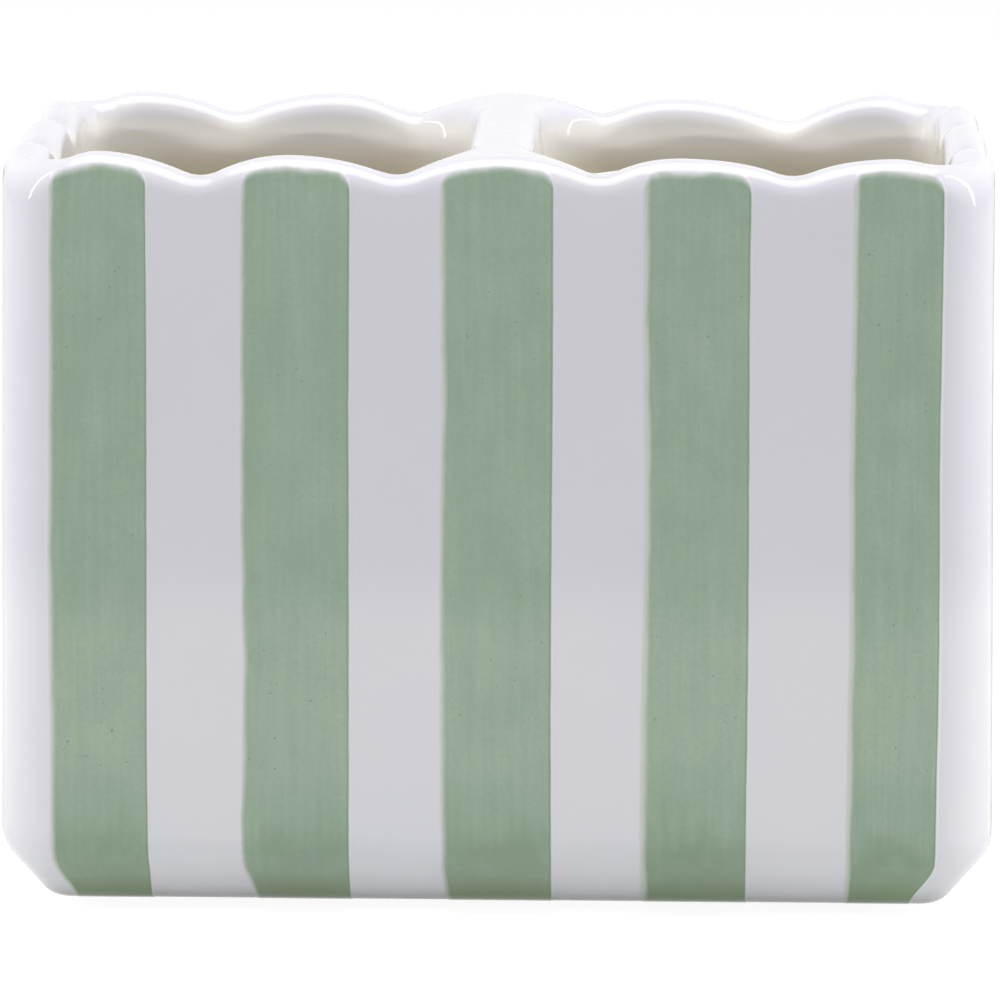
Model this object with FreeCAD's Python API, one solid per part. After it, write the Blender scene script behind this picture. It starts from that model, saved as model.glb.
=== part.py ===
# A two-compartment toothbrush holder in glazed earthenware: a slip-cast box with a scalloped rim,
# a dividing wall luted across its middle, brushed bands of coloured slip under every scallop
# and four pads under the base.
# Millimetres, +Z up. The front faces -Y. The origin is on the table, under the middle of the box.

import FreeCAD, Part
import math
import os
from FreeCAD import Vector

# Rim: five scallops along the front and back, three along each short side, all of one pitch,
# with a short run at each corner where the rim dips a little.
scallop_pitch = 23.6
front_scallops = 5
side_scallops = 3
scallop_depth = 2.5
valley_radius = 5.2
corner_run = 1.0
corner_dip = 0.9
rim_thickness = 5.2
rim_flat = 0.4

# Box: sizes over the outside of the foot, walls that lean in a little towards the rim.
width = front_scallops * scallop_pitch + 2 * corner_run
depth = side_scallops * scallop_pitch + 2 * corner_run
height = 92.6
wall_lean = 0.8
floor_thickness = 6.5
pocket_floor_radius = 4.0
pocket_corner_extra = 0.5

# Foot: a soft chamfer round the bottom edge, a band to stand on and a shallow hollow inside it.
chamfer_inset = 6.0
chamfer_height = 7.1
chamfer_blend = 5.8
foot_blend = 3.5
foot_corner_radius = 1.0
foot_band = 14.0
hollow_depth = 0.8
hollow_corner_radius = 4.0

# Dividing wall, with flared joints at the walls. It is luted to low lands on the walls and floor.
divider_thickness = 8.0
divider_flare = 8.0
land_margin = 0.35

# Bands of coloured slip. Those beside a corner are narrower, and drawn in at the foot to clear it.
band_width = 13.4
end_band_width = 11.8
end_band_draw = 3.2
band_thickness = 0.2
band_rim_gap = 1.2
band_foot_gap = 0.15
band_corner_radius = 2.5

# Pads, stuck on the foot's band near its corners, set back so that they stay out of sight.
pad_diameter = 8.0
pad_setback = 8.0
pad_thickness = 1.0
pad_edge = 0.25

# How far cutting shapes run past what they cut, and how close a point on a surface has to be.
overrun = 3.0
touching = 0.001

# A round corner's middle lies this share of its radius inside the square corner, along each side.
corner_share = 1 - math.sqrt(1 / 2)

foot_level = pad_thickness
floor_level = foot_level + floor_thickness
top_level = height + overrun
lip_radius = (rim_thickness - rim_flat) / 2
rim_low = height - scallop_depth - lip_radius / 2
# The box's upright corners are as round as the foot's chamfer needs.
chamfer_slope = math.atan2(chamfer_height, chamfer_inset)
foot_inset = chamfer_inset + foot_blend * math.tan(chamfer_slope / 2)
corner_radius = foot_inset + foot_corner_radius
pocket_half_width = width / 2 - wall_lean - rim_thickness
pocket_half_depth = depth / 2 - wall_lean - rim_thickness
pocket_corner_radius = pocket_floor_radius + pocket_corner_extra
joint_land = pocket_floor_radius * corner_share + land_margin
# The rim is level round each corner, from where the pocket's corner is half way round.
front_reach = pocket_half_width - pocket_corner_radius * corner_share
side_reach = pocket_half_depth - pocket_corner_radius * corner_share
# The radii of a crest and a valley that meet in a smooth line add up to this.
arcs_radius = (scallop_depth**2 + (scallop_pitch / 2) ** 2) / (2 * scallop_depth)
crest_radius = arcs_radius - valley_radius


def line(start, end):
    return Part.LineSegment(start, end).toShape()


def arc(start, middle, end):
    return Part.Arc(start, middle, end).toShape()


def rounded_edges(corners, radii, closed):
    """Straight runs between corners, with a tangent arc of the given radius at each corner."""
    bends = []
    for i, corner in enumerate(corners):
        if radii[i] == 0:
            bends.append((corner, corner, corner))
            continue
        back = (corners[i - 1] - corner).normalize()
        ahead = (corners[(i + 1) % len(corners)] - corner).normalize()
        half = back.getAngle(ahead) / 2
        reach = radii[i] / math.tan(half)
        middle = (back + ahead).normalize() * (radii[i] / math.sin(half) - radii[i])
        bends.append((corner + back * reach, corner + middle, corner + ahead * reach))
    edges = []
    for i, (enter, middle, leave) in enumerate(bends):
        run_start = bends[i - 1][2]
        if (closed or i > 0) and run_start.distanceToPoint(enter) > touching:
            edges.append(line(run_start, enter))
        if radii[i] > 0:
            edges.append(arc(enter, middle, leave))
    return edges


def rounded_rectangle(left, right, front, back, radii, level):
    """Edges of a level rectangle. The radii go round from the left front corner, anticlockwise."""
    corners = [
        Vector(left, front, level),
        Vector(right, front, level),
        Vector(right, back, level),
        Vector(left, back, level),
    ]
    return rounded_edges(corners, radii, closed=True)


def plan_face(inset, level):
    """The box's plan at a level, drawn in from its outermost outline by an inset."""
    across = width / 2 - inset
    along = depth / 2 - inset
    edges = rounded_rectangle(-across, across, -along, along, [corner_radius - inset] * 4, level)
    return Part.Face(Part.Wire(edges))


def inset_of(point):
    """How far inside the box's outermost outline a point lies, in plan."""
    across = abs(point.x) - (width / 2 - corner_radius)
    along = abs(point.y) - (depth / 2 - corner_radius)
    beyond = math.hypot(max(across, 0), max(along, 0)) + min(max(across, along), 0)
    return corner_radius - beyond


def middle_of(edge):
    return edge.valueAt((edge.FirstParameter + edge.LastParameter) / 2)


def walls_block(swell):
    """The outside of the box as one block, its wall profile swept round the plan, swelled by a coat."""
    slant = math.hypot(chamfer_inset, chamfer_height)
    shift = swell * slant / (chamfer_inset * chamfer_height)
    heel = chamfer_inset * (1 - shift)
    shoulder = foot_level + chamfer_height * (1 - shift + swell / chamfer_inset)
    lean = wall_lean / (height - foot_level - chamfer_height)
    top_inset = wall_lean + lean * overrun - swell
    profile = [(foot_inset, foot_level), (heel, foot_level), (-swell, shoulder), (top_inset, top_level)]
    corners = [Vector(0, inset - depth / 2, level) for inset, level in profile]
    section = Part.Wire(rounded_edges(corners, [0, foot_blend, chamfer_blend + swell, 0], closed=False))
    half_width = width / 2
    half_depth = depth / 2
    path_corners = [
        Vector(0, -half_depth, 0),
        Vector(half_width, -half_depth, 0),
        Vector(half_width, half_depth, 0),
        Vector(-half_width, half_depth, 0),
        Vector(-half_width, -half_depth, 0),
    ]
    path = Part.Wire(rounded_edges(path_corners, [0] + [corner_radius] * 4, closed=True))
    skin = path.makePipeShell([section], False, False)
    caps = [plan_face(foot_inset, foot_level), plan_face(top_inset, top_level)]
    shell = Part.Shell(skin.Faces + caps)
    shell.sewShape()
    return Part.Solid(shell).removeSplitter()


def rim_edges(count, reach, at):
    """The rim's line seen square on, from corner to corner: broad crests, tight valleys, eased ends."""
    touch = scallop_pitch / 2 * crest_radius / arcs_radius

    def crest_level(offset):
        return height - crest_radius + math.sqrt(crest_radius**2 - offset**2)

    crests = [(i - (count - 1) / 2) * scallop_pitch for i in range(count)]
    edges = []
    for i, crest in enumerate(crests):
        start = -touch if i > 0 else 0
        end = touch if i < count - 1 else 0
        stops = [start, (start + end) / 2, end]
        edges.append(arc(*[at(crest + stop, crest_level(stop)) for stop in stops]))
        if end > 0:
            valley = at(crest + scallop_pitch / 2, height - scallop_depth)
            edges.append(arc(at(crest + touch, crest_level(touch)), valley,
                             at(crest + scallop_pitch - touch, crest_level(touch))))
    ease = reach - crests[-1]
    ease_radius = (ease**2 + corner_dip**2) / (4 * corner_dip)
    drop = ease_radius - math.sqrt(ease_radius**2 - (ease / 4) ** 2)
    stops = [
        (0, height),
        (ease / 4, height - drop),
        (ease / 2, height - corner_dip / 2),
        (ease * 3 / 4, height - corner_dip + drop),
        (ease, height - corner_dip),
    ]
    for side in (-1, 1):
        points = [at(side * (crests[-1] + offset), level) for offset, level in stops]
        edges += [arc(*points[:3]), arc(*points[2:])]
    return edges


def rim_cutter(count, reach, span, at, way):
    """What is taken off above the rim along one pair of walls: level past its reach, out to its span."""
    edges = rim_edges(count, reach, at)
    corner_level = height - corner_dip
    if span > reach:
        for side in (-1, 1):
            edges.append(line(at(side * reach, corner_level), at(side * span, corner_level)))
    above = top_level + overrun
    edges.append(line(at(-span, corner_level), at(-span, above)))
    edges.append(line(at(-span, above), at(span, above)))
    edges.append(line(at(span, above), at(span, corner_level)))
    return Part.Face(Part.Wire(Part.__sortEdges__(edges))).extrude(way)


def rim_cutters():
    """The front and back rims are cut in one pass, and each short side in one of its own."""
    past = depth / 2 + overrun
    cutters = [
        rim_cutter(front_scallops, front_reach, front_reach,
                   lambda u, level: Vector(u, -past, level), Vector(0, 2 * past, 0))
    ]
    for side in (-1, 1):
        cutters.append(
            rim_cutter(side_scallops, side_reach, past,
                       lambda u, level: Vector(side * front_reach, u, level),
                       Vector(side * (width / 2 + overrun - front_reach), 0, 0))
        )
    return cutters


def scalloped_block(swell):
    """The solid box with its rim cut and the outer edge of the rim rounded."""
    cutters = rim_cutters()
    for cutter in cutters:
        cutter.translate(Vector(0, 0, swell))
    block = walls_block(swell).cut(cutters)
    rim = [
        edge
        for edge in block.Edges
        if middle_of(edge).z > rim_low and inset_of(middle_of(edge)) < rim_thickness / 2
    ]
    return block.makeFillet(lip_radius + swell, rim)


def pocket(side):
    """The room inside one compartment: tight corners at the box's corners, wide ones at the divider."""
    near = side * divider_thickness / 2
    far = side * pocket_half_width
    tight = pocket_corner_radius
    radii = [divider_flare, tight, tight, divider_flare]
    if side < 0:
        radii = [tight, divider_flare, divider_flare, tight]
    edges = rounded_rectangle(min(near, far), max(near, far), -pocket_half_depth, pocket_half_depth,
                              radii, floor_level)
    room = Part.Face(Part.Wire(edges)).extrude(Vector(0, 0, top_level - floor_level))
    floor_edges = [edge for edge in room.Edges if edge.BoundBox.ZMax < floor_level + touching]
    return room.makeFillet(pocket_floor_radius, floor_edges)


def casting(block):
    """Walls, floor and divider in one, with rounded lips and a shallow hollow under the base."""
    pockets = [pocket(-1), pocket(1)]
    body = block.cut(pockets)
    lips = [
        edge
        for edge in body.Edges
        if middle_of(edge).z > rim_low
        and min(room.distToShape(Part.Vertex(middle_of(edge)))[0] for room in pockets) < touching
    ]
    body = body.makeFillet(lip_radius, lips)
    across = width / 2 - foot_inset - foot_band
    along = depth / 2 - foot_inset - foot_band
    hollow = rounded_rectangle(-across, across, -along, along, [hollow_corner_radius] * 4, foot_level)
    return body.cut(Part.Face(Part.Wire(hollow)).extrude(Vector(0, 0, hollow_depth)))


def divider_room():
    """The space of the dividing wall between its lands on the walls and on the floor."""
    half = divider_thickness / 2 + divider_flare
    along = pocket_half_depth - joint_land
    low = floor_level + joint_land
    corner = Vector(-half, -along, low)
    return Part.makeBox(2 * half, 2 * along, top_level - low, corner)


def band_stamp(half, draws, at, way):
    """The outline of one band under a crest, with rounded upper corners, swept through the wall.
    Draws say how far its two sides come in at the foot."""
    low = foot_level + band_foot_gap
    bend = foot_level + chamfer_height
    top_radius = crest_radius - band_rim_gap
    top = height - band_rim_gap
    side_top = top - top_radius + math.sqrt(top_radius**2 - half**2)
    corners = [
        at(-half, side_top),
        at(-half, bend),
        at(draws[0] - half, low),
        at(half - draws[1], low),
        at(half, bend),
        at(half, side_top),
    ]
    edges = [line(start, end) for start, end in zip(corners, corners[1:])]
    edges.append(arc(corners[-1], at(0, top), corners[0]))
    stamp = Part.Face(Part.Wire(edges)).extrude(way)
    shoulders = [
        edge
        for edge in stamp.Edges
        if abs(middle_of(edge).z - side_top) < touching and abs(edge.Length - way.Length) < touching
    ]
    return stamp.makeFillet(band_corner_radius, shoulders)


def bands(inner, outer):
    """Every band by name: a coat between the box and the box swelled by the coat, under each crest."""
    reach_in = corner_radius + overrun
    coats = {}
    walls = [
        ("front", front_scallops, -1, False),
        ("back", front_scallops, 1, False),
        ("left", side_scallops, -1, True),
        ("right", side_scallops, 1, True),
    ]
    for name, count, side, is_short in walls:
        face = side * ((width if is_short else depth) / 2 + overrun)
        inwards = -side * (reach_in + overrun)
        for i in range(count):
            crest = (i - (count - 1) / 2) * scallop_pitch
            draws = [end_band_draw if i == end else 0 for end in (0, count - 1)]
            half = (end_band_width if any(draws) else band_width) / 2
            if is_short:
                way = Vector(inwards, 0, 0)
                stamp = band_stamp(half, draws, lambda u, level: Vector(face, crest + u, level), way)
            else:
                way = Vector(0, inwards, 0)
                stamp = band_stamp(half, draws, lambda u, level: Vector(crest + u, face, level), way)
            coats[f"{name}_band_{i + 1}"] = outer.common(stamp).cut(inner)
    return coats


def pad(across, along):
    """A stick-on disc under the base, its lower edge eased."""
    disc = Part.makeCylinder(pad_diameter / 2, pad_thickness, Vector(across, along, 0))
    rim = [edge for edge in disc.Edges if edge.BoundBox.ZMax < touching]
    return disc.makeChamfer(pad_edge, rim)


block = scalloped_block(0)
whole = casting(block)
pieces = {
    "cast_box": whole.cut(divider_room()),
    "dividing_wall": whole.common(divider_room()),
}
pieces.update(bands(block, scalloped_block(band_thickness)))
pad_inset = foot_inset + pad_setback
for lengthways, across in (("left", -1), ("right", 1)):
    for crossways, along in (("front", -1), ("back", 1)):
        pieces[f"{crossways}_{lengthways}_pad"] = pad(
            across * (width / 2 - pad_inset), along * (depth / 2 - pad_inset)
        )

os.makedirs("parts", exist_ok=True)
for name, shape in pieces.items():
    solids = shape.Solids
    print(f"{name}: {len(solids)} solid, volume {shape.Volume:.2f}, valid {shape.isValid()}")
    solid = solids[0] if len(solids) == 1 else Part.Compound(solids)
    solid.exportStep(f"parts/{name}.step")
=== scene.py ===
import math

import bmesh
import bpy
import numpy as np
from mathutils import Matrix, Vector, noise
from mathutils.bvhtree import BVHTree


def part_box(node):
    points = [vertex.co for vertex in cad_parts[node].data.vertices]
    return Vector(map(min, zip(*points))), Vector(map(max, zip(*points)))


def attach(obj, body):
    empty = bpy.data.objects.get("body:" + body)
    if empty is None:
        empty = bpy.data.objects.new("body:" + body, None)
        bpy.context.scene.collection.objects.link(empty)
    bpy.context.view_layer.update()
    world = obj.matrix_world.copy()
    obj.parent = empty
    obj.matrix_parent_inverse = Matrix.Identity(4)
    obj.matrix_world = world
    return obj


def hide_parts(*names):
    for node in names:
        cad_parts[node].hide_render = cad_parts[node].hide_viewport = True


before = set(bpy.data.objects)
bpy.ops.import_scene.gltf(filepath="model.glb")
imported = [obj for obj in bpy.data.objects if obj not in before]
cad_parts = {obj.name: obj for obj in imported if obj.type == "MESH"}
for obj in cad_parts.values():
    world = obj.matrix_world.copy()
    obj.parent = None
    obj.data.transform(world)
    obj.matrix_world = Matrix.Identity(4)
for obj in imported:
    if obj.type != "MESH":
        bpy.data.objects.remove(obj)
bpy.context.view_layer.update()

# The cast box: white earthenware poured in a mould, four walls that lean in a little from a soft-chamfered
# foot to a scalloped rim, which is trimmed by hand and rounded over. Its sizes are in millimetres, and become
# metres when a mesh is made.
mm = 0.001
box_low, box_high = [np.array(corner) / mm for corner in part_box("cast_box")]
half_width, half_depth, top_level = box_high
foot_level = box_low[2]

rim_thickness = 5.2
wall_lean = 0.8
wall_swell = 0.6
wall_swell_depth = 9.0
pocket_width = half_width - wall_lean - rim_thickness
pocket_depth = half_depth - wall_lean - rim_thickness
pocket_corner_radius = 4.5
pocket_floor_level = 7.5
pocket_floor_radius = 4.0
divider_half = 4.0
flare_radius = 10.5
flare_start = divider_half + flare_radius

chamfer_inset = 6.0
chamfer_height = 7.1
chamfer_blend = 5.8
foot_blend = 3.5
foot_inset = chamfer_inset + foot_blend * math.tan(math.atan2(chamfer_height, chamfer_inset) / 2)
foot_corner_radius = 1.0
corner_radius = foot_inset + foot_corner_radius
core_width = half_width - corner_radius
core_depth = half_depth - corner_radius
foot_band = 14.0
hollow_depth = 0.8
hollow_corner_radius = 4.0
hollow_edge_width = 0.3

front_scallops = 5
side_scallops = 3
scallop_pitch = 23.6
scallop_depth = 2.5
valley_radius = 5.2
crest_radius = (scallop_depth**2 + (scallop_pitch / 2) ** 2) / (2 * scallop_depth) - valley_radius
corner_dip = 0.9
trimming_room = 0.3
crest_level = top_level - trimming_room
lip_rise = rim_thickness / 2
outer_corner_fall = 3.6
inner_corner_fall = 3.0
corner_share = 1 - math.sqrt(1 / 2)
front_reach = pocket_width - pocket_corner_radius * corner_share
side_reach = pocket_depth - pocket_corner_radius * corner_share

# How the knife strayed: heights and sideways shifts of crests and valleys in turn, from the left corner.
front_heights = (0.19, -0.14, -0.18, 0.0, 0.0, 0.25, -0.25, 0.25, -0.2)
front_shifts = (-0.8, 0.1, -1.0, 0.0, 0.0, 0.4, -1.0, -0.15, 0.3)
back_heights = (0.19, 0.19, 0.1, 0.1, 0.19, 0.13, -0.55, -0.8, 0.1)
back_shifts = (-0.3, 0.4, 1.2, -0.3, 0.1, -0.1, -1.6, 0.0, 0.4)
side_heights = (-0.1, 0.12, 0.05, -0.1, -0.15)


def smooth(values):
    """Eases shares from 0 to 1, level at both ends."""
    shares = np.clip(values, 0, 1)
    return shares * shares * (3 - 2 * shares)


def eased(at, values, reach):
    """A smooth line through the values at successive crests and valleys, and through zero at the reach."""
    half_pitch = scallop_pitch / 2
    last = (len(values) - 1) / 2 * half_pitch
    knots = np.array([-reach] + list(np.arange(len(values)) * half_pitch - last) + [reach])
    levels = np.array([0.0] + list(values) + [0.0])
    span = np.clip(np.searchsorted(knots, at, side="right") - 1, 0, len(knots) - 2)
    share = smooth((at - knots[span]) / (knots[span + 1] - knots[span]))
    return levels[span] + (levels[span + 1] - levels[span]) * share


def scallops(at, count, reach):
    """How far the even rim lies below its crests: broad crests, tight valleys, a small dip at each corner."""
    crest = np.clip(np.round(at / scallop_pitch + (count - 1) / 2), 0, count - 1) - (count - 1) / 2
    off = np.abs(at - crest * scallop_pitch)
    turn = scallop_pitch / 2 * crest_radius / (crest_radius + valley_radius)
    on_crest = np.sqrt(crest_radius**2 - np.minimum(off, turn) ** 2) - crest_radius
    to_valley = np.minimum(scallop_pitch / 2 - off, scallop_pitch / 2 - turn)
    in_valley = valley_radius - np.sqrt(valley_radius**2 - to_valley**2) - scallop_depth
    last = (count - 1) / 2 * scallop_pitch
    at_corner = -corner_dip * smooth((np.abs(at) - last) / (reach - last))
    return np.where(np.abs(at) > last, at_corner, np.where(off < turn, on_crest, in_valley))


def rim_at(x, y):
    """The level of the rim's ridge over points of the plan."""
    heights = []
    for levels, shifts in ((front_heights, front_shifts), (back_heights, back_shifts)):
        shifted = x - eased(x, shifts, front_reach)
        heights.append(scallops(shifted, front_scallops, front_reach) + eased(x, levels, front_reach))
    along = heights[0] + (heights[1] - heights[0]) * smooth((y + half_depth) / (2 * half_depth))
    inside = np.clip(y, -side_reach, side_reach)
    across = scallops(inside, side_scallops, side_reach) + eased(inside, side_heights, side_reach)
    return crest_level + np.where(np.abs(x) > front_reach, across, along)


def rounded(corners, radii, steps):
    """Points along straight runs between corners, with a tangent arc at each corner that has a radius."""
    corners = [np.array(corner, float) for corner in corners]
    points = []
    for i, corner in enumerate(corners):
        if radii[i] == 0:
            points.append(corner)
            continue
        back = corners[i - 1] - corner
        ahead = corners[i + 1] - corner
        back /= np.linalg.norm(back)
        ahead /= np.linalg.norm(ahead)
        half = math.acos(np.dot(back, ahead)) / 2
        middle = (back + ahead) / np.linalg.norm(back + ahead)
        centre = corner + middle * radii[i] / math.sin(half)
        start = corner + back * radii[i] / math.tan(half) - centre
        end = corner + ahead * radii[i] / math.tan(half) - centre
        sweep = math.pi - 2 * half
        for share in np.linspace(0, 1, steps + 1):
            mixed = start * math.sin((1 - share) * sweep) + end * math.sin(share * sweep)
            points.append(centre + mixed / math.sin(sweep))
    return np.array(points)


blend_steps = 10
shoulder = foot_level + chamfer_height
foot_section = rounded(
    [(foot_inset, foot_level), (chamfer_inset, foot_level), (0, shoulder), (wall_lean, top_level)],
    [0, foot_blend, chamfer_blend, 0],
    blend_steps,
)[:-1]
wall_start = foot_section[-1][1]


def wall_inset(level):
    """How far the outside of a wall lies inside the outermost outline."""
    return wall_lean * (level - shoulder) / (top_level - shoulder)


def lip_fall(directions, corner_fall):
    """How far the lip reaches below the ridge: further where a wall turns a corner."""
    return lip_rise + corner_fall * (2 * directions[:, 0] * directions[:, 1]) ** 2


def arc_path(centre, degrees):
    """A run of stations turning at one place: its places, and the directions in which the wall lies."""
    angles = np.radians(degrees)
    return np.tile(centre, (len(angles), 1)), np.column_stack((np.cos(angles), np.sin(angles)))


def straight_path(start, end, out, steps):
    """A straight run of stations facing one way."""
    shares = np.linspace(0, 1, steps + 1)[:, None]
    return np.array(start) + shares * (np.array(end) - np.array(start)), np.tile(out, (steps + 1, 1))


def joined(runs):
    """Runs of stations in one row, without repeating the places where they meet."""
    places = [runs[0][0]] + [run[0][1:] for run in runs[1:]]
    outs = [runs[0][1]] + [run[1][1:] for run in runs[1:]]
    return np.concatenate(places), np.concatenate(outs)


long_steps, corner_steps, short_steps, middle_steps = 36, 12, 50, 24
end_count = 2 * long_steps + 2 * corner_steps + short_steps


def end_path(width, depth):
    """Stations from the front, beside the dividing wall, round the box's right end to the back."""
    return joined(
        [
            straight_path((flare_start, -depth), (width, -depth), (0, -1), long_steps),
            arc_path((width, -depth), np.linspace(-90, 0, corner_steps + 1)),
            straight_path((width, -depth), (width, depth), (1, 0), short_steps),
            arc_path((width, depth), np.linspace(0, 90, corner_steps + 1)),
            straight_path((width, depth), (flare_start, depth), (0, 1), long_steps),
        ]
    )


def outer_path(width, depth):
    """Stations all the way round the outside, starting in front at the left of the dividing wall."""
    places, outs = end_path(width, depth)
    flip = np.array((-1, 1))
    front = straight_path((-flare_start, -depth), (flare_start, -depth), (0, -1), middle_steps)
    back = straight_path((flare_start, depth), (-flare_start, depth), (0, 1), middle_steps)
    places, outs = joined([front, (places, outs), back, (places[::-1] * flip, outs[::-1] * flip)])
    return places[:-1], outs[:-1]


def with_levels(plan, levels):
    """Plan points lifted to a level, or to a level each."""
    return np.column_stack((plan, np.broadcast_to(levels, len(plan))))


# The outside of the skin: from the middle of the base over the foot, the chamfer and the wall to the ridge.
hollow_rows = 4
outside_wall_rows = 39
lip_steps = 10
places, outs = outer_path(core_width, core_depth)
pocket_places, pocket_outs = outer_path(
    pocket_width - pocket_corner_radius,
    pocket_depth - pocket_corner_radius,
)
facing = pocket_places + pocket_outs * pocket_corner_radius
rough_ridge = (places + outs * (corner_radius - wall_lean) + facing) / 2
rims = rim_at(rough_ridge[:, 0], rough_ridge[:, 1])
lip_rises = lip_fall(outs, outer_corner_fall)
lip_levels = rims - lip_rises
lip_edge = places + outs * (corner_radius - wall_inset(lip_levels))[:, None]
ridge = (lip_edge + facing) / 2

hollow_places, hollow_outs = outer_path(
    half_width - foot_inset - foot_band - hollow_corner_radius,
    half_depth - foot_inset - foot_band - hollow_corner_radius,
)
hollow_edge = hollow_places + hollow_outs * hollow_corner_radius
hollow_level = foot_level + hollow_depth
hollow_inner = hollow_edge - hollow_outs * hollow_edge_width
outside_rows = []
for share in np.linspace(0, 1, hollow_rows + 1):
    outside_rows.append(with_levels(hollow_inner * share, hollow_level))
outside_rows.append(with_levels(hollow_edge, hollow_level))
outside_rows.append(with_levels(hollow_edge, foot_level))
outside_rows.append(with_levels(hollow_edge + hollow_outs * hollow_edge_width, foot_level))
for inset, level in foot_section:
    outside_rows.append(with_levels(places + outs * (corner_radius - inset), level))
for share in np.linspace(0, 1, outside_wall_rows + 1)[1:]:
    levels = wall_start + (lip_levels - wall_start) * share
    insets = wall_inset(levels)[:, None]
    outside_rows.append(with_levels(places + outs * (corner_radius - insets), levels))
for angle in np.radians(np.linspace(0, 90, lip_steps + 1))[1:]:
    plan = lip_edge + (facing - lip_edge) * (1 - math.cos(angle)) / 2
    outside_rows.append(with_levels(plan, lip_levels + lip_rises * math.sin(angle)))

# The pockets: from the ridge over the inner lip, down the wall and round the fillet to the floor's middle.
pocket_wall_rows = 30
fillet_steps = 8
flare_steps = 16
flare_spacing = 0.8
divider_steps = 30
right_end = np.arange(middle_steps, middle_steps + end_count + 1)
left_end = -np.arange(end_count + 1) % len(places)
flare_angles = np.degrees(np.pi / 2 * np.linspace(0, 1, flare_steps + 1) ** flare_spacing)
flare_depth = pocket_depth - flare_radius
flare_front = (flare_start, -flare_depth)
flare_back = (flare_start, flare_depth)
divider_places, divider_outs = joined(
    [
        arc_path(flare_front, -90 - flare_angles),
        straight_path(flare_front, flare_back, (-1, 0), divider_steps),
        arc_path(flare_back, 90 + flare_angles[::-1]),
    ]
)
divider_count = len(divider_places) - 1


def pocket_rows(side, end):
    """One pocket's rows, each a closed ring of stations round the box's end and along the dividing wall.

    The ridge along the dividing wall is given as well.
    """
    flip = np.array((side, 1))
    wall = facing[end]
    crest = ridge[end]
    levels = rims[end]
    inward = -pocket_outs[end]
    divider_wall = (divider_places + divider_outs * flare_radius) * flip
    reach = [np.linalg.norm(crest[i] - wall[i]) for i in (0, -1)]
    shares = np.linspace(0, 1, divider_count + 1)[:, None]
    divider_crest = divider_wall + divider_outs * flip * (reach[0] + (reach[1] - reach[0]) * shares)
    divider_levels = rim_at(divider_crest[:, 0], divider_crest[:, 1])
    back_to_front = slice(-2, 0, -1)
    wall = np.concatenate((wall, divider_wall[back_to_front]))
    crest = np.concatenate((crest, divider_crest[back_to_front]))
    levels = np.concatenate((levels, divider_levels[back_to_front]))
    inward = np.concatenate((inward, -(divider_outs * flip)[back_to_front]))
    lip_falls = lip_fall(inward, inner_corner_fall)
    lips = levels - lip_falls
    rows = []
    for angle in np.radians(np.linspace(90, 180, lip_steps + 1)):
        rows.append(with_levels(crest - (wall - crest) * math.cos(angle), lips + lip_falls * math.sin(angle)))
    fillet_level = pocket_floor_level + pocket_floor_radius
    for share in np.linspace(0, 1, pocket_wall_rows + 1)[1:]:
        depths = (lips - fillet_level) * share
        swell = wall_swell * smooth(depths / wall_swell_depth)[:, None]
        rows.append(with_levels(wall + inward * swell, lips - depths))
    for angle in np.radians(np.linspace(0, 90, fillet_steps + 1))[1:]:
        plan = wall + inward * (wall_swell + pocket_floor_radius * (1 - math.cos(angle)))
        rows.append(with_levels(plan, fillet_level - pocket_floor_radius * math.sin(angle)))
    floor_edge = rows[-1]
    centre = np.array((side * (pocket_width + divider_half) / 2, 0, pocket_floor_level))
    for share in (0.75, 0.5, 0.25, 0.0):
        rows.append(centre + (floor_edge - centre) * share)
    return rows, with_levels(divider_crest, divider_levels)


skin = bmesh.new()
# The inside layer holds how far a pocket's painted light and shade have gone; the bare layer holds where the
# foot is unglazed.
pocket_paint_layer = skin.verts.layers.float.new("inside")
bare_layer = skin.verts.layers.float.new("bare")
part_layer = skin.faces.layers.int.new("part")
box_part, divider_part = 0, 1
sway_seed = 7
sway_size = 0.11
sway_span = 38.0
sway_start = 10.0
# Painted light and shade inside the pockets: a lit white from so deep under the top, over a span, then ivory
# shade further down, and the lit white's share.
lit_depth, lit_span = 2, 3
shade_depth, shade_span = 5, 6
lit_share = 0.35

# Vector noise is seeded from the clock unless a seed is set, and every run has to give the same box.
noise.seed_set(sway_seed)


def sway(point):
    """How far the mould and the hand have moved a point from the exact form."""
    hold = smooth((point[2] - foot_level) / sway_start)
    return Vector(noise.noise_vector(Vector(point) / sway_span)) * sway_size * float(hold)


def lay(rows, closed, inside=None, bare=None, part=None):
    """Adds rows of points to the skin as a grid of faces, with what the functions say of points and faces."""
    made = []
    for row in rows:
        verts = [skin.verts.new(Vector(point) + sway(point)) for point in row]
        for vert, point in zip(verts, row):
            vert[pocket_paint_layer] = inside(point) if inside else 0.0
            vert[bare_layer] = bare(point) if bare else 0.0
        made.append(verts)
    for row, (low, high) in enumerate(zip(made, made[1:])):
        count = len(low) if closed else len(low) - 1
        for column in range(count):
            after = (column + 1) % len(low)
            face = skin.faces.new((low[column], low[after], high[after], high[column]))
            face[part_layer] = part(row, column) if part else box_part


def painted_pocket_light(point):
    """How far the painted light has gone at a point inside a pocket: to a painted lit white under the lip,
    then to painted shade in ivory deeper down.
    """
    depth = top_level - point[2]
    to_lit = smooth((depth - lit_depth) / lit_span)
    to_shade = smooth((depth - shade_depth) / shade_span)
    return float(lit_share * to_lit + (1 - lit_share) * to_shade)


def unglazed(point):
    """Where the glaze was wiped off the foot, so that it wouldn't stick to the kiln shelf."""
    wiped_height = 0.35
    return float(1 - smooth((point[2] - foot_level) / wiped_height))


# The joint of box and dividing wall runs so many stations along each flare, and down to a row of the fillet.
seam_step = 10
seam_fillet_rows = 3
seam_bottom = lip_steps + pocket_wall_rows + seam_fillet_rows


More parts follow.
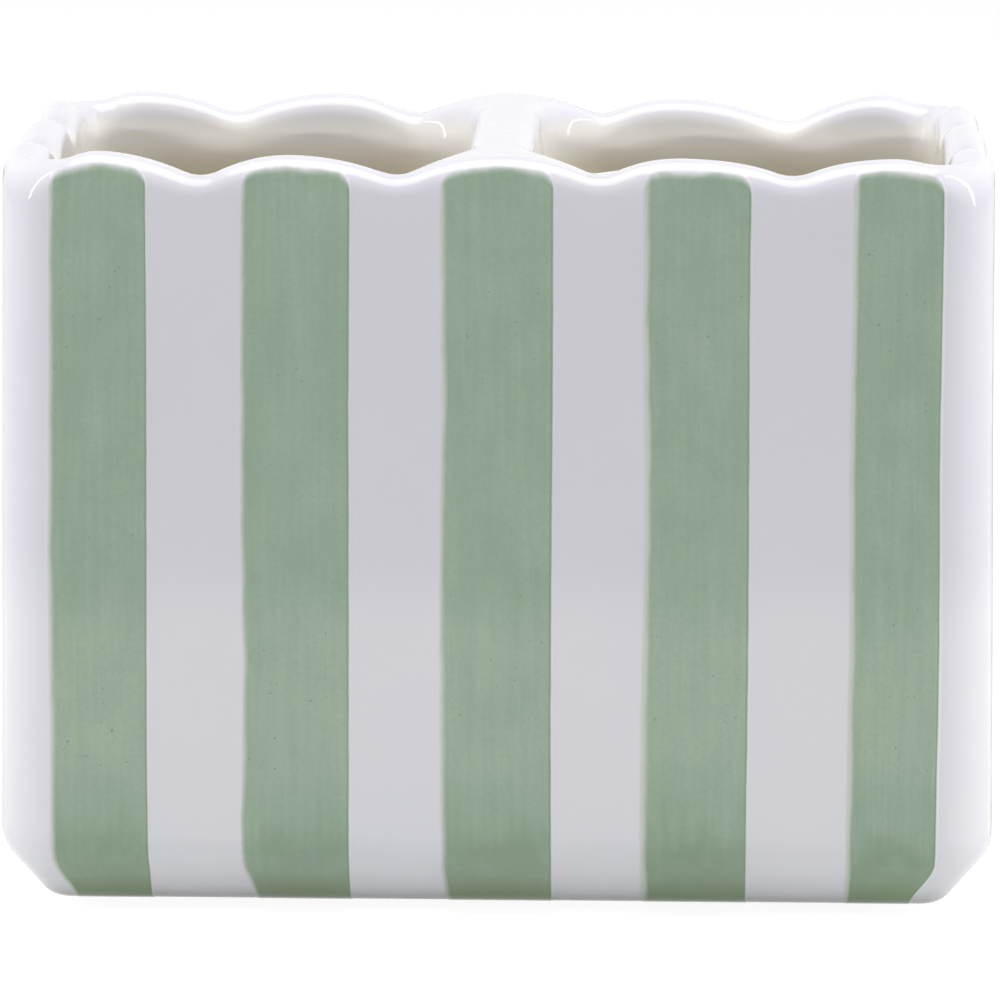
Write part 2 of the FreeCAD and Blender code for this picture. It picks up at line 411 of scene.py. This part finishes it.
def pocket_part(row, column):
    """Which of the two a face of a pocket belongs to."""
    along = column - end_count
    on_divider = row < seam_bottom and seam_step <= along < divider_count - seam_step
    return divider_part if on_divider else box_part


def land_part(row, column):
    """Which of the two a face of the dividing wall's level top belongs to."""
    return divider_part if seam_step <= row < divider_count - seam_step else box_part


lay(outside_rows, closed=True, bare=unglazed)
divider_ridges = []
for side, end in ((1, right_end), (-1, left_end)):
    rows, divider_ridge = pocket_rows(side, end)
    divider_ridges.append(divider_ridge)
    lay(rows, closed=True, inside=painted_pocket_light, part=pocket_part)

# The level top of the dividing wall, between the two pockets' ridges.
right_ridge, left_ridge = divider_ridges
land_rows = [with_levels(ridge[: middle_steps + 1], rims[: middle_steps + 1])]
for left, right in zip(left_ridge[1:-1], right_ridge[1:-1]):
    row = left + np.linspace(0, 1, middle_steps + 1)[:, None] * (right - left)
    row[1:-1, 2] = rim_at(row[1:-1, 0], row[1:-1, 1])
    land_rows.append(row)
back_start = middle_steps + end_count
back_middle = np.arange(back_start + middle_steps, back_start - 1, -1)
land_rows.append(with_levels(ridge[back_middle], rims[back_middle]))
lay(land_rows, closed=False, part=land_part)

weld_distance = 0.002
sliver_length = 0.0005
bmesh.ops.remove_doubles(skin, verts=skin.verts, dist=weld_distance)
bmesh.ops.dissolve_degenerate(skin, edges=skin.edges, dist=sliver_length)
bmesh.ops.recalc_face_normals(skin, faces=skin.faces)
skin.normal_update()
skin.verts.index_update()


def seam_loop():
    """The vertices round the joint, in order: where faces of the box and of the dividing wall meet."""
    neighbours = {}
    for edge in skin.edges:
        if len({face[part_layer] for face in edge.link_faces}) == 2:
            for vert in edge.verts:
                neighbours.setdefault(vert, []).append(edge.other_vert(vert))
    loop = [next(iter(neighbours))]
    before = None
    while len(loop) < len(neighbours):
        ahead = [vert for vert in neighbours[loop[-1]] if vert is not before]
        before = loop[-1]
        loop.append(ahead[0])
    return loop


def seam_caps():
    """Hidden faces that close the joint: a fan at the front and at the back, rungs along the floor."""
    loop = seam_loop()
    lowest = min(vert.co.z for vert in loop)
    low_limit = lowest + 0.35
    fan_level = lowest + 4
    is_low = [vert.co.z < low_limit for vert in loop]
    starts = [i for i in range(len(loop)) if is_low[i] != is_low[i - 1]]
    chains = []
    for start, end in zip(starts, starts[1:] + [starts[0] + len(loop)]):
        chains.append([loop[i % len(loop)] for i in range(start, end)])
    level = [chain for chain in chains if chain[0].co.z < low_limit]
    upright = [chain for chain in chains if chain not in level]
    ends = [vert for chain in level for vert in (chain[0], chain[-1])]
    caps = []
    for chain in upright:
        first = min(ends, key=lambda vert: (vert.co - chain[0].co).length)
        last = min(ends, key=lambda vert: (vert.co - chain[-1].co).length)
        middle = skin.verts.new((0, sum(vert.co.y for vert in chain) / len(chain), fan_level))
        rim = [first] + chain + [last]
        caps += [(middle, here, after) for here, after in zip(rim, rim[1:] + rim[:1])]
    along = level[0]
    across = level[1][::-1]
    for i in range(len(along) - 1):
        caps.append((along[i], along[i + 1], across[i + 1], across[i]))
    return caps


def make_piece(name, points, faces, uvs=None):
    """A mesh object in metres from points in millimetres."""
    mesh = bpy.data.meshes.new(name)
    mesh.from_pydata([tuple(np.array(point) * mm) for point in points], [], faces)
    mesh.polygons.foreach_set("use_smooth", [True] * len(mesh.polygons))
    if uvs is not None:
        layer = mesh.uv_layers.new(name="across_along")
        for loop_data, corner in zip(layer.data, mesh.loops):
            loop_data.uv = uvs[corner.vertex_index]
    piece = bpy.data.objects.new(name, mesh)
    bpy.context.scene.collection.objects.link(piece)
    return piece


def skin_piece(name, part, caps):
    """One side of the joint as a closed piece, shaded as the whole skin is."""
    faces = [list(face.verts) for face in skin.faces if face[part_layer] == part]
    corners = dict.fromkeys(vert for face in faces + caps for vert in face)
    used = {vert: i for i, vert in enumerate(corners)}
    indexed = [[used[vert] for vert in face] for face in faces + caps]
    piece = make_piece(name, [vert.co for vert in used], indexed)
    mesh = piece.data
    turned = bmesh.new()
    turned.from_mesh(mesh)
    bmesh.ops.recalc_face_normals(turned, faces=turned.faces)
    turned.to_mesh(mesh)
    turned.free()
    for layer_name, layer in (("inside", pocket_paint_layer), ("bare", bare_layer)):
        values = mesh.attributes.new(layer_name, "FLOAT", "POINT")
        values.data.foreach_set("value", [vert[layer] for vert in used])
    normals = [vert.normal for vert in used]
    shading = []
    for face in mesh.polygons:
        is_cap = face.index >= len(faces)
        shading += [face.normal if is_cap else normals[i] for i in face.vertices]
    mesh.normals_split_custom_set(shading)
    return piece


class Signal:
    """One socket of a material. Arithmetic on signals adds Math nodes."""

    def __init__(self, socket):
        self.socket = socket

    def node(self, kind, settings, inputs, output=0):
        """A new node beside this signal: its settings are set first, then its inputs get values or links."""
        tree = self.socket.id_data
        made = tree.nodes.new("ShaderNode" + kind)
        for name, value in settings.items():
            setattr(made, name, value)
        for name, value in inputs.items():
            if isinstance(value, Signal):
                tree.links.new(value.socket, made.inputs[name])
            else:
                made.inputs[name].default_value = value
        return Signal(made.outputs[output]) if made.outputs else None

    def math(self, operation, *values):
        """A Math node on the values."""
        return self.node("Math", {"operation": operation}, dict(enumerate(values)))

    def __add__(self, other):
        return self.math("ADD", self, other)

    def __sub__(self, other):
        return self.math("SUBTRACT", self, other)

    def __rsub__(self, other):
        return self.math("SUBTRACT", other, self)

    def __mul__(self, other):
        return self.math("MULTIPLY", self, other)

    __radd__ = __add__
    __rmul__ = __mul__

    def step(self, low, high):
        """Eases from 0 to 1 as this signal goes from low to high."""
        inputs = {"Value": self, "From Min": low, "From Max": high}
        return self.node("MapRange", {"interpolation_type": "SMOOTHSTEP"}, inputs)

    def mix(self, low, high):
        """A colour from low to high as this signal goes from 0 to 1."""
        return self.node("Mix", {"data_type": "RGBA"}, {0: self, 6: low, 7: high}, 2)

    def noise(self, scale, detail=2.0):
        """Soft random values over the places that this signal holds."""
        return self.node("TexNoise", {}, {"Vector": self, "Scale": scale, "Detail": detail})


def start_nodes(owner):
    """Clears the nodes of a material or world, and gives its object coordinates, in metres."""
    owner.use_nodes = True
    owner.node_tree.nodes.clear()
    return Signal(owner.node_tree.nodes.new("ShaderNodeTexCoord").outputs["Object"])


# White gloss glaze, with a lilac tint that stands for cool light on the walls, painted shade on the upper
# walls, a painted highlight on the lip, and painted contact shade at the foot's edge.
low_white, low_cloud = (0.723, 0.723, 0.767, 1), (0.745, 0.74, 0.77, 1)
upper_shade_white, upper_shade_cloud = (0.672, 0.665, 0.725, 1), (0.694, 0.688, 0.735, 1)
lip_highlight_white, lip_highlight_cloud = (0.758, 0.75, 0.818, 1), (0.785, 0.78, 0.81, 1)
foot_shade_grey = (0.46, 0.46, 0.43, 1)
# Painted light under the lip inside the pockets, and painted shade in ivory deeper down; the glaze there is
# white like the rest.
painted_lit_white = (0.93, 0.905, 0.87, 1)
painted_shade_ivory = (0.725, 0.67, 0.54, 1)
dark_clay, pale_clay = (0.74, 0.7, 0.62, 1), (0.8, 0.765, 0.69, 1)


def white_glaze(place):
    """The colour, roughness and height of white gloss glaze, the same on every piece that it covers; its
    colour holds painted shade on the upper walls, a painted highlight on the lip and painted shade at the
    foot.
    """
    z = place.node("SeparateXYZ", {}, {0: place}, 2)
    # Painted light and shade: the colour is darker on the upper walls and paler on the lip, which faces the
    # top lamp.
    upper = z.step(0.034, 0.046)
    lip = z.step(0.0865, 0.0905)
    cloud = place.noise(45.0)
    outer = lip.mix(upper.mix(low_white, upper_shade_white), lip_highlight_white)
    clouded = lip.mix(upper.mix(low_cloud, upper_shade_cloud), lip_highlight_cloud)
    colour = (cloud.step(0.35, 0.7) * 0.35).mix(outer, clouded)
    # Painted contact shade: the glaze darkens to grey over the lowest few millimetres, where the floor's
    # light doesn't reach.
    painted_foot_shade = (1 - z.step(0.0006, 0.0034)) * 0.85
    colour = painted_foot_shade.mix(colour, foot_shade_grey)
    roughness = cloud * 0.05 + 0.045
    height = place.noise(120.0, 1.0) * 0.5 + place.noise(700.0, 1.0) * 0.04
    return colour, roughness, height


def glazed(place, colour, roughness, height):
    """A gloss surface with the gentle waves of a poured glaze."""
    normal = place.node("Bump", {}, {"Strength": 0.25, "Distance": 0.0004, "Height": height})
    inputs = {"Base Color": colour, "Roughness": roughness, "Normal": normal, "IOR": 1.52}
    shader = place.node("BsdfPrincipled", {}, inputs)
    place.node("OutputMaterial", {}, {"Surface": shader})


glaze = bpy.data.materials.new("white_gloss_glaze")
place = start_nodes(glaze)
colour, roughness, height = white_glaze(place)
# The inside attribute carries the pockets' painted light under the lip and painted shade deeper down.
inside = place.node("Attribute", {"attribute_name": "inside"}, {}, "Fac")
bare = place.node("Attribute", {"attribute_name": "bare"}, {}, "Fac")
# Painted light under the lip, then painted shade in ivory deeper in the pockets.
lit_under_lip = (inside * 2.85).mix(colour, painted_lit_white)
colour = inside.step(lit_share, 1.0).mix(lit_under_lip, painted_shade_ivory)
clay = place.noise(900.0, 4.0).mix(dark_clay, pale_clay)
colour = bare.mix(colour, clay)
roughness = roughness + bare * 0.75
glazed(place, colour, roughness, height)

caps = seam_caps()
box = skin_piece("glazed_box", box_part, caps)
box.data.materials.append(glaze)
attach(box, "root")
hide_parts("cast_box")

# The dividing wall: a slab of the same clay, luted between the long walls while it is damp, its joints
# smoothed into wide flares. One glaze runs over it and the box, so that the joint can't be seen.
divider = skin_piece("dividing_wall_glazed", divider_part, caps)
divider.data.materials.append(glaze)
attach(divider, "root")
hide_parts("dividing_wall")

# The bands: sage-green slip brushed down the outside under every scallop, from just below the rim to the
# foot. Each is a thin coat with a soft edge where the brush came down and a crisp one where it lifted.
band_half = 6.7
end_band_half = 5.9
band_rim_gap = 0.95
band_foot_gap = 0.15
band_corner = 1.7
band_proud = 0.09
band_sunk = 0.06
band_back = 0.2
margin = 0.7
soft_edge, crisp_edge = 1.2, 0.6
left_slope, right_slope, foot_slope, top_slope = 0.7, 0.1, 0.3, 0.2
left_wander, right_wander = 0.35, 0.2
ridge_setback = 4.0
draw_height = chamfer_height * 1.3
end_draw_left, end_draw_right, plain_draw = 2.6, 2.2, 0.3

# The front's bands as they were painted: their left and right edges, and how far these draw in at the foot.
front_edges = ((-53.5, -41.6), (-30.5, -17.4), (-6.7, 6.8), (17.5, 30.3), (42.1, 53.0))
front_draws = ((2.7, 0.0), (1.5, 0.0), (0.5, 0.0), (0.0, 0.0), (0.0, 3.0))

skin_surface = BVHTree.FromBMesh(skin)
foot_lengths = np.concatenate(((0,), np.cumsum(np.linalg.norm(np.diff(foot_section, axis=0), axis=1))))
foot_length = foot_lengths[-1]


def section_at(length, rim):
    """Inset and level on the outside at a length along the wall's section, counted from inside the foot."""
    lip_level = rim - lip_rise
    lip_inset = wall_inset(lip_level)
    lip_half = (half_depth - lip_inset - pocket_depth) / 2
    foot_inset_there = np.interp(length, foot_lengths, foot_section[:, 0])
    foot_level_there = np.interp(length, foot_lengths, foot_section[:, 1])
    level = wall_start + length - foot_length
    over = np.clip((level - lip_level) / lip_rise, 0, math.pi / 2)
    wall_level = np.minimum(level, lip_level)
    inset = wall_inset(wall_level) + lip_half * (1 - np.cos(over))
    level = wall_level + lip_rise * np.sin(over)
    on_foot = length < foot_length
    return np.where(on_foot, foot_inset_there, inset), np.where(on_foot, foot_level_there, level)


def wander(seed, along, size):
    """A slow irregular line, as a hand draws it."""
    return np.array([noise.noise(Vector((seed * 7.3, share * 3.1, 0.5))) for share in along]) * size


def graded(stops, counts):
    """Values from stop to stop, with so many steps in each stretch."""
    runs = [np.linspace(low, high, count + 1)[:-1] for low, high, count in zip(stops, stops[1:], counts)]
    return np.concatenate(runs + [stops[-1:]])


def band(name, right, out, edges, draws, core, reach):
    """One band as a closed coat: a front that stands proud of the wall, and a back sunk into it."""
    seed = sum(ord(letter) * (i + 1) for i, letter in enumerate(name)) % 97
    width = edges[1] - edges[0]
    length = foot_length + crest_level - wall_start
    beside = margin / width
    ends = margin / length
    across = graded((-beside, soft_edge / width, 1 - crisp_edge / width, 1 + beside), (8, 17, 8))
    along = graded((-ends, 10 * ends, 1 - 6 * ends, 1 + ends), (9, 59, 15))
    drawn = 1 - smooth(along * length / draw_height)
    left = edges[0] + wander(seed, along, left_wander) + draws[0] * drawn
    far = edges[1] + wander(seed + 40, along, right_wander) - draws[1] * drawn
    sideways = left[:, None] + across[None, :] * (far - left)[:, None]
    share_across = np.broadcast_to(across, sideways.shape)
    share_along = np.broadcast_to(along[:, None], sideways.shape)
    x, y = [sideways * right[axis] + out[axis] * (reach - ridge_setback) for axis in (0, 1)]
    rim = rim_at(x, y)

    edge_gap = np.clip(np.minimum(share_across, 1 - share_across), 0, 1) * width
    within = np.clip(band_corner - edge_gap, 0, band_corner)
    rounding = band_corner - np.sqrt(band_corner**2 - within**2)
    start = np.interp(foot_level + band_foot_gap, foot_section[:, 1], foot_lengths)
    ridge_length = foot_length + rim - lip_rise - wall_start + lip_rise * math.pi / 2
    lip_gap = lip_rise * math.acos(1 - band_rim_gap / lip_rise)
    end = ridge_length - lip_gap - rounding
    lengths = start + share_along * (end - start)

    rise = smooth((share_across * width + margin) / (margin + left_slope))
    rise = rise * smooth(((1 - share_across) * width + margin) / (margin + right_slope))
    rise = rise * smooth((share_along * length + margin) / (margin + foot_slope))
    rise = rise * smooth(((1 - share_along) * length + margin) / (margin + top_slope))
    front = rise * (band_proud + band_sunk) - band_sunk
    border = np.zeros(sideways.shape, bool)
    border[[0, -1], :] = True
    border[:, [0, -1]] = True
    back = np.where(border, front, -band_back)

    inset, level = section_at(lengths, rim)
    beyond = np.clip(np.abs(sideways) - core, 0, None)
    distance = reach - inset - beyond**2 / (2 * np.maximum(corner_radius - inset, 1))
    on_wall = sideways[..., None] * np.array(right + (0,)) + distance[..., None] * np.array(out + (0,))
    on_wall[..., 2] = level
    planned = [Vector(point) + sway(point) for point in on_wall.reshape(-1, 3)]
    found = [skin_surface.find_nearest(point)[:2] for point in planned]
    points = []
    for lifts in (front, back):
        points += [spot + normal * lift for (spot, normal), lift in zip(found, lifts.ravel())]

    total = sideways.size
    index = np.arange(total).reshape(sideways.shape)
    back_index = np.where(border, index, index + total)
    faces = []
    for row in range(len(along) - 1):
        for column in range(len(across) - 1):
            quad = [(row, column), (row, column + 1), (row + 1, column + 1), (row + 1, column)]
            faces.append([int(index[corner]) for corner in quad])
            faces.append([int(back_index[corner]) for corner in reversed(quad)])
    used = sorted({i for face in faces for i in face})
    renumbered = {old: new for new, old in enumerate(used)}
    faces = [[renumbered[i] for i in face] for face in faces]
    uvs = np.column_stack((np.tile(share_across.ravel(), 2), np.tile(share_along.ravel(), 2)))
    return make_piece(name, [points[i] for i in used], faces, [tuple(uvs[i]) for i in used])


deep_sage, pale_sage = (0.266, 0.381, 0.273, 1), (0.365, 0.468, 0.352, 1)
grey_sage = (0.328, 0.398, 0.31, 1)
second_green = (0.225, 0.322, 0.212, 1)
foot_shade_green = (0.2, 0.29, 0.14, 1)
line_green = (0.2, 0.29, 0.19, 1)
speck_green = (0.2, 0.25, 0.18, 1)
veil_green = (0.52, 0.575, 0.468, 1)

slip = bpy.data.materials.new("brushed_green_slip")
place = start_nodes(slip)
# The white around the bands carries the same painted shade and highlight as the glaze.
white, roughness, height = white_glaze(place)
paint_place = place.node("UVMap", {"uv_map": "across_along"}, {})
across, along = [place.node("SeparateXYZ", {}, {0: paint_place}, axis) for axis in (0, 1)]
piece_seed = place.node("ObjectInfo", {}, {}, "Random")
streak_place = place.node("CombineXYZ", {}, {0: across * 7.0, 1: along * 2.5, 2: piece_seed * 50.0})
streaks = streak_place.noise(2.2, 5.0)
patch_place = place.node("CombineXYZ", {}, {0: across * 2.0, 1: along * 10.0, 2: piece_seed * 80.0})
patches = patch_place.noise(1.2, 3.0)
grain = place.noise(1700.0, 2.0)
mottle = place.noise(260.0, 3.0)

# The coat: brush streaks, a paler zone, grey patches, a second coat low down, a darker and yellower green at
# the foot's edge that is painted contact shade, a dark line where the brush lifted, and specks.
pale = along.step(0.16, 0.24) * (1 - along.step(0.37, 0.47))
brushed = (streaks - 0.5) * 0.75 + (patches - 0.5) * 0.6 + (mottle - 0.5) * 0.4 + (grain - 0.5) * 0.55
tone = brushed + pale * 0.34 + 0.3
green = tone.step(0.0, 1.0).mix(deep_sage, pale_sage)
grey = place.noise(90.0, 2.0).step(0.45, 0.75) * 0.3
green = grey.mix(green, grey_sage)
second_coat = 1 - (along + (patches - 0.5) * 0.12 + (streaks - 0.5) * 0.03).step(0.09, 0.17)
second_coat = second_coat * (mottle.step(0.3, 0.6) * 0.5 + 0.5) * (piece_seed * 0.5 + 0.45)
green = second_coat.mix(green, second_green)
# Painted contact shade: the green darkens and turns yellower at the foot's edge.
foot_shade = (1 - (along + (mottle - 0.5) * 0.02).step(0.02, 0.07)) * 0.85
green = foot_shade.mix(green, foot_shade_green)
line = (across + (mottle - 0.5) * 0.01).step(0.968, 0.988) * 0.55
green = line.mix(green, line_green)
speck = place.noise(2300.0, 0.0).step(0.835, 0.87) * 0.7
green = speck.mix(green, speck_green)

# Its edges: a thin veil and then the full coat on the left, and a crisp end on the other three sides.
edge_noise = streak_place.noise(9.0, 2.0) - 0.5
drift = (patches - 0.5) * 0.06 + edge_noise * 0.02
veil = (across + drift * 0.3).step(-0.01, 0.03) * 0.75
left = (across + drift - piece_seed * 0.04).step(-0.005, 0.055)
right = 1 - (across + edge_noise * 0.012).step(0.99, 1.004)
top = 1 - (along + (mottle - 0.5) * 0.016).step(0.986, 1.0)
bottom = (along + edge_noise * 0.006).step(-0.004, 0.003)
ends = right * top * bottom
colour = (veil * ends).mix(white, veil_green)
colour = (left * ends).mix(colour, green)
glazed(place, colour, roughness, height)

# Each wall: how many bands, its directions to the right and outward, where its corners start, how far out it
# lies, and which way its bands are counted.
walls = {
    "front": (front_scallops, (1, 0), (0, -1), core_width, half_depth, 1),
    "back": (front_scallops, (-1, 0), (0, 1), core_width, half_depth, -1),
    "left": (side_scallops, (0, -1), (-1, 0), core_depth, half_width, -1),
    "right": (side_scallops, (0, 1), (1, 0), core_depth, half_width, 1),
}
for wall, (count, right, out, core, reach, way) in walls.items():
    for i in range(count):
        crest = way * (i - (count - 1) / 2) * scallop_pitch
        is_end = i in (0, count - 1)
        half = end_band_half if is_end else band_half
        edges = (crest - half, crest + half)
        draw_left = end_draw_left if is_end and crest < 0 else plain_draw
        draw_right = end_draw_right if is_end and crest > 0 else 0.0
        draws = (draw_left, draw_right)
        if wall == "front":
            edges, draws = front_edges[i], front_draws[i]
        node = f"{wall}_band_{i + 1}"
        piece = band(f"{wall}_brushed_band_{i + 1}", right, out, edges, draws, core, reach)
        piece.data.materials.append(slip)
        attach(piece, "root")
        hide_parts(node)

# The pads: four clear discs of soft silicone, stuck under the foot near its corners so that the unglazed clay
# doesn't scratch the shelf or slide on it. The plain discs of the frame are kept and given their material.
dusty_silicone, clean_silicone = (0.7, 0.71, 0.69, 1), (0.78, 0.79, 0.77, 1)
silicone = bpy.data.materials.new("clear_silicone")
place = start_nodes(silicone)
dust = place.noise(1500.0, 3.0)
colour = dust.mix(dusty_silicone, clean_silicone)
inputs = {"Base Color": colour, "Roughness": dust * 0.2 + 0.3, "Subsurface Weight": 0.3}
shader = place.node("BsdfPrincipled", {}, inputs)
place.node("OutputMaterial", {}, {"Surface": shader})
for name in ("front_left_pad", "back_left_pad", "front_right_pad", "back_right_pad"):
    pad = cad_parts[name]
    pad.data.materials.clear()
    pad.data.materials.append(silicone)

# The stage: a plain pale floor that keeps the holder's shadow, in a white studio with soft lamps above and at
# both sides and a small low one in front. Its sizes are in metres.
floor_half = 4.0
floor_corners = [(-1, -1), (1, -1), (1, 1), (-1, 1)]
floor_mesh = bpy.data.meshes.new("floor")
floor_mesh.from_pydata([(x * floor_half, y * floor_half, 0) for x, y in floor_corners], [], [(0, 1, 2, 3)])
floor = bpy.data.objects.new("floor", floor_mesh)
bpy.context.scene.collection.objects.link(floor)


def looked_at(signal):
    """1 for rays from the camera, off gloss and through clear pieces, and 0 for light that only spreads."""
    kinds = ("Camera", "Glossy", "Transmission")
    camera_ray, glossy_ray, clear_ray = [signal.node("LightPath", {}, {}, f"Is {kind} Ray") for kind in kinds]
    return signal.math("MINIMUM", camera_ray + glossy_ray + clear_ray, 1.0)


paper = bpy.data.materials.new("pale_paper")
place = start_nodes(paper)
dull = place.node("BsdfDiffuse", {}, {"Color": (0.76, 0.76, 0.76, 1)})
pale = place.node("BsdfDiffuse", {}, {"Color": (0.26, 0.26, 0.26, 1)})
glow = place.node("Emission", {}, {"Color": (1, 1, 1, 1), "Strength": 0.92})
bright = place.node("AddShader", {}, {0: pale, 1: glow})
surface = place.node("MixShader", {}, {0: looked_at(place), 1: dull, 2: bright})
place.node("OutputMaterial", {}, {"Surface": surface})
floor_mesh.materials.append(paper)

world = bpy.data.worlds.new("studio")
bpy.context.scene.world = world
sky = start_nodes(world)
ambient = sky.node("Background", {}, {"Color": (0.93, 0.95, 1.0, 1), "Strength": 0.04})
backdrop = sky.node("Background", {}, {"Color": (1, 1, 1, 1), "Strength": 1.0})
surface = sky.node("MixShader", {}, {0: looked_at(sky), 1: ambient, 2: backdrop})
sky.node("OutputWorld", {}, {"Surface": surface})


def softbox(name, place, aim, size, power, tint=(1, 1, 1), mirrored=True):
    """A rectangular lamp at a place, turned to a point, and mirrored in the glaze or not."""
    lamp = bpy.data.lights.new(name, "AREA")
    lamp.shape = "RECTANGLE"
    lamp.size, lamp.size_y = size
    lamp.energy = power
    lamp.color = tint
    holder = bpy.data.objects.new(name, lamp)
    holder.location = place
    holder.rotation_euler = (Vector(aim) - Vector(place)).to_track_quat("-Z", "Y").to_euler()
    holder.visible_glossy = mirrored
    bpy.context.scene.collection.objects.link(holder)


softbox("top_softbox", (0.0, -0.1, 0.95), (0, -0.1, 0), (0.9, 0.75), power=7.25, tint=(1, 0.99, 0.97))
for side, name, forward, power in ((-1, "left", 0.24, 5.75), (1, "right", 0.05, 6.45)):
    wide_place = (side * 0.95, 0.1, 0.32)
    strip_place = (side * 0.93, -forward, 0.55)
    softbox(f"{name}_softbox", wide_place, (0, 0, 0.05), (0.9, 0.55), power, mirrored=False)
    softbox(f"{name}_strip", strip_place, (0, 0, 0.08), (0.05, 0.95), power=1.6)
low_place = (-0.02, -1.3, 0.182)
softbox("front_lamp", low_place, (0, 0, 0.08), (0.14, 0.012), power=3.7, tint=(0.96, 0.97, 1), mirrored=False)

camera_place = Vector((22.34, -864.45, 190.11)) * mm
yaw, pitch, roll = [math.radians(angle) for angle in (-1.504, 9.508, 0.192)]
camera = bpy.data.objects.new("camera", bpy.data.cameras.new("camera"))
camera.data.sensor_width = 36.0
camera.data.lens = 253.9
camera.matrix_world = (
    Matrix.Translation(camera_place)
    @ Matrix.Rotation(-yaw, 4, "Z")
    @ Matrix.Rotation(math.pi / 2 - pitch, 4, "X")
    @ Matrix.Rotation(roll, 4, "Z")
)
bpy.context.scene.collection.objects.link(camera)
bpy.context.scene.camera = camera
bpy.context.scene.view_settings.view_transform = "Standard"
